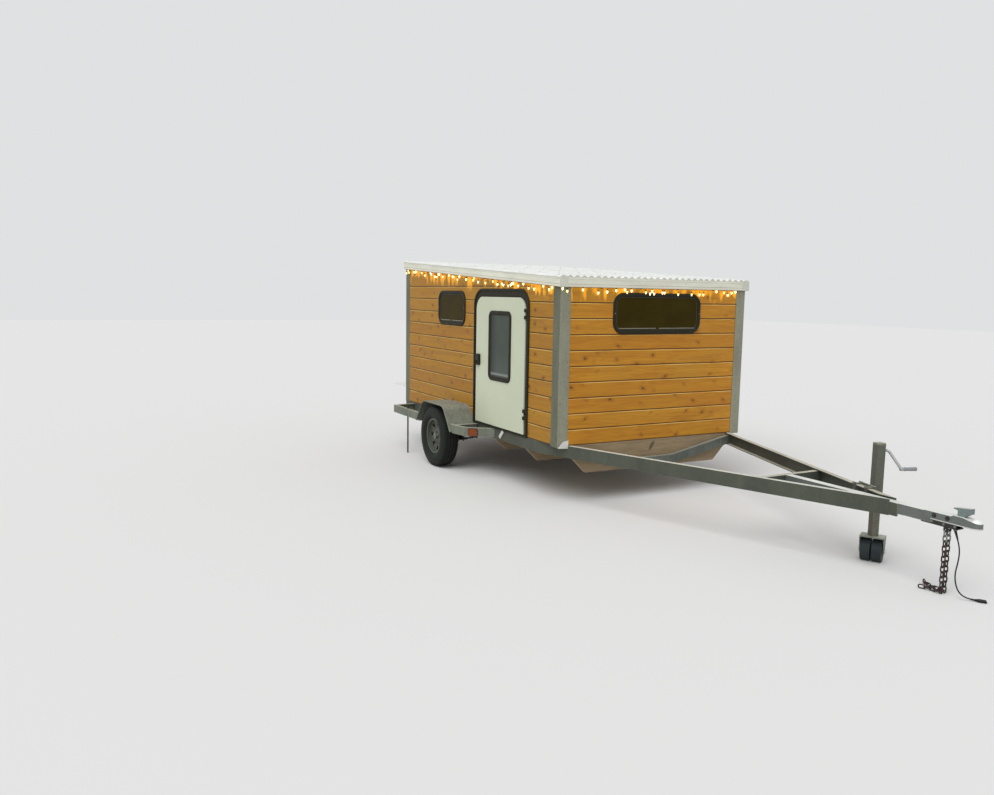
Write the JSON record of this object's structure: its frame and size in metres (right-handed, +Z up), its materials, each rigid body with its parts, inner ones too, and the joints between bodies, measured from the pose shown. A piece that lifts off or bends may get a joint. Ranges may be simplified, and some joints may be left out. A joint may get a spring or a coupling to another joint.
{
  "type": "small camping trailer",
  "caption": "Wood-clad box camper on a two-wheel steel V-frame trailer, with a side door, windows, a corrugated roof and a tongue jack.",
  "frame": {"origin": "on the ground under the centre of the whole trailer's box", "axes": "+X forward along the tongue, +Y to the left, +Z up"},
  "size_m": [6.5824, 2.555, 2.0891],
  "materials": {
    "cladding": "satin honey stain",
    "plywood": "bare",
    "weathered_board": "bare weathered",
    "galvanised": "dull zinc",
    "steel_dark": "dark worn",
    "roof_white": "satin",
    "fascia_white": "satin paint",
    "door_white": "satin",
    "black_trim": "satin",
    "window_tint": "smooth",
    "tyre": "matt",
    "rim_grey": "satin",
    "amber_lens": "gloss",
    "red_lens": "gloss"
  },
  "bodies": {
    "chassis": {"right_wall": "cladding", "left_wall": "cladding", "front_wall": "cladding", "rear_wall": "cladding", "floor_deck": "plywood", "floor_joists": "weathered_board", "corner_posts": "galvanised", "roof_panel": "plywood", "fascia": "fascia_white", "roof_sheet": "roof_white", "window_frames": "black_trim", "window_glass": "window_tint", "door_frame": "black_trim", "hinge_frame_leaves": "black_trim", "rail_right": "galvanised", "rail_left": "galvanised", "crossmembers": "galvanised", "front_crossmember": "galvanised", "tongue_beam": "galvanised", "coupler": "galvanised", "fenders": "galvanised", "outriggers": "galvanised", "axle": "steel_dark", "springs": "steel_dark", "spring_hangers": "steel_dark", "jack_tube": "galvanised", "jack_bracket": "galvanised", "jack_crank": "galvanised", "rear_shelf": "door_white", "stand_sleeves": "steel_dark", "marker_lamps": "amber_lens", "tail_lamps": "red_lens", "coupler_lever": "galvanised", "chain_bracket": "steel_dark", "safety_chains": "steel_dark", "wiring_lead": "black_trim", "wiring_plug": "black_trim", "string_light_wire": "black_trim"},
    "wheel_right": {"tyre_right": "tyre", "rim_right": "rim_grey"},
    "wheel_left": {"tyre_left": "tyre", "rim_left": "rim_grey"},
    "door": {"door_panel": "door_white", "door_window_rim": "black_trim", "door_glass": "window_tint", "door_latch": "black_trim", "hinge_door_leaves": "black_trim"},
    "jack_leg": {"jack_leg": "galvanised"},
    "caster_fork": {"caster_fork": "galvanised"},
    "caster_wheels": {"caster_wheels": "tyre"},
    "stand_right": {"stand_rod_right": "steel_dark"},
    "stand_left": {"stand_rod_left": "steel_dark"}
  },
  "joints": [
    {"name": "wheel_right_spin", "type": "hinge", "parent": "chassis", "child": "wheel_right", "pos_m": [-1.5535, -1.185, 0.305], "axis": [0, 1, 0], "continuous": true},
    {"name": "wheel_left_spin", "type": "hinge", "parent": "chassis", "child": "wheel_left", "pos_m": [-1.5535, 1.185, 0.305], "axis": [0, 1, 0], "continuous": true},
    {"name": "door_hinge", "type": "hinge", "parent": "chassis", "child": "door", "pos_m": [-0.1885, -1.0078, 1.093], "axis": [0, 0, 1], "range_deg": [0, 150]},
    {"name": "jack_leg_slide", "type": "slide", "parent": "chassis", "child": "jack_leg", "axis": [0, 0, 1], "range_m": [-0.1, 0.19]},
    {"name": "caster_swivel", "type": "hinge", "parent": "jack_leg", "child": "caster_fork", "pos_m": [2.46225, 0.16461, 0.172], "axis": [0, 0, 1], "continuous": true},
    {"name": "caster_spin", "type": "hinge", "parent": "caster_fork", "child": "caster_wheels", "pos_m": [2.46225, 0.16461, 0.075], "axis": [0.8746, 0.4848, 0], "continuous": true},
    {"name": "stand_right_slide", "type": "slide", "parent": "chassis", "child": "stand_right", "axis": [0, 0, 1], "range_m": [0, 0.25]},
    {"name": "stand_left_slide", "type": "slide", "parent": "chassis", "child": "stand_left", "axis": [0, 0, 1], "range_m": [0, 0.25]}
  ]
}
